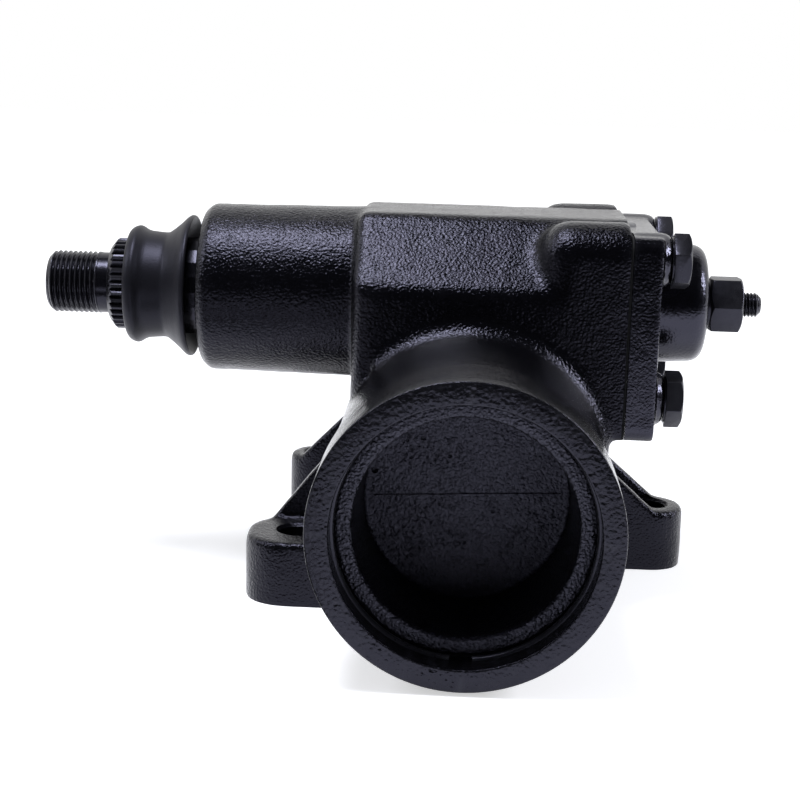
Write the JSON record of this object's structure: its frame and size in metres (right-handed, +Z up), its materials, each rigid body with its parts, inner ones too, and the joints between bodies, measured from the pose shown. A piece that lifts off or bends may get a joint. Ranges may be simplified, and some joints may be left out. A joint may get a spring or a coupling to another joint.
{
  "type": "steering gearbox",
  "caption": "Integral power steering gear: cast housing with worm, rack-piston and toothed output shaft, bolted side cover, rubber boot and mounting lugs.",
  "frame": {"origin": "on the plane of the three mounting lugs' undersides, under the middle of the gear's box", "axes": "+Y along the main bore and worm towards the input shaft, +X along the sector shaft towards the side cover, +Z up from the mounting plane"},
  "size_m": [0.255, 0.3066, 0.134],
  "materials": {
    "black_paint": "satin-gloss black paint over rough casting",
    "machined_steel": "machined steel",
    "black_steel": "black painted steel fasteners",
    "rubber": "matte black rubber",
    "brass": "turned brass",
    "gasket": "pressed fibre",
    "ptfe": "bronze-filled ring"
  },
  "bodies": {
    "housing": {"gear_housing": "black_paint", "end_plug": "black_paint", "end_plug_o_ring": "rubber", "end_plug_retaining_ring": "black_steel", "side_cover": "black_paint", "side_cover_gasket": "gasket", "cover_bolt_1": "black_steel", "cover_bolt_2": "black_steel", "cover_bolt_3": "black_steel", "cover_bolt_4": "black_steel", "cover_bushing": "brass", "lash_adjuster_lock_nut": "black_steel", "sector_needle_bearing": "machined_steel", "sector_pressure_seal": "rubber", "sector_seal_washer": "machined_steel", "sector_snap_ring": "black_steel", "sector_dust_seal": "rubber", "lower_thrust_bearing": "machined_steel", "upper_thrust_bearing": "machined_steel", "adjuster_plug": "machined_steel", "adjuster_plug_o_ring": "rubber", "adjuster_ring_nut": "black_steel", "stub_needle_bearing": "machined_steel", "stub_shaft_seal": "rubber", "stub_dust_seal": "rubber", "pressure_port_seat": "brass", "return_port_seat": "brass"},
    "worm_assembly": {"worm": "machined_steel", "valve_sleeve": "machined_steel", "sleeve_ring_1": "ptfe", "sleeve_ring_2": "ptfe", "sleeve_ring_3": "ptfe", "torsion_bar": "machined_steel"},
    "input_shaft": {"stub_shaft": "machined_steel"},
    "rack": {"rack_piston": "machined_steel", "rack_piston_plug": "machined_steel", "rack_piston_ring": "ptfe", "ball_train": "machined_steel"},
    "output_shaft": {"sector_shaft": "machined_steel", "dust_boot": "rubber"},
    "lash_screw": {"lash_adjuster_screw": "black_steel"}
  },
  "joints": [
    {"name": "worm_turn", "type": "hinge", "parent": "housing", "child": "worm_assembly", "pos_m": [0.02575, -0.04585, 0.049], "axis": [0, 1, 0], "range_deg": [-750, 750]},
    {"name": "rack_travel", "type": "slide", "parent": "housing", "child": "rack", "axis": [0, 1, 0], "range_m": [-0.01988, 0.01988]},
    {"name": "output_turn", "type": "hinge", "parent": "housing", "child": "output_shaft", "pos_m": [0.02575, -0.02895, 0.1028], "axis": [1, 0, 0], "range_deg": [-43, 43]},
    {"name": "input_twist", "type": "hinge", "parent": "worm_assembly", "child": "input_shaft", "pos_m": [0.02575, 0.06565, 0.049], "axis": [0, 1, 0], "range_deg": [-5, 5], "stiffness_Nm_per_rad": 57.3},
    {"name": "lash_setting", "type": "hinge", "parent": "housing", "child": "lash_screw", "pos_m": [0.08975, -0.02895, 0.1028], "axis": [1, 0, 0], "range_deg": [-180, 180]}
  ],
  "couplings": [
    {"joint": "rack_travel", "follows": "worm_turn", "m_per_rad": -0.0015143},
    {"joint": "output_turn", "follows": "worm_turn", "ratio": -0.057143}
  ]
}
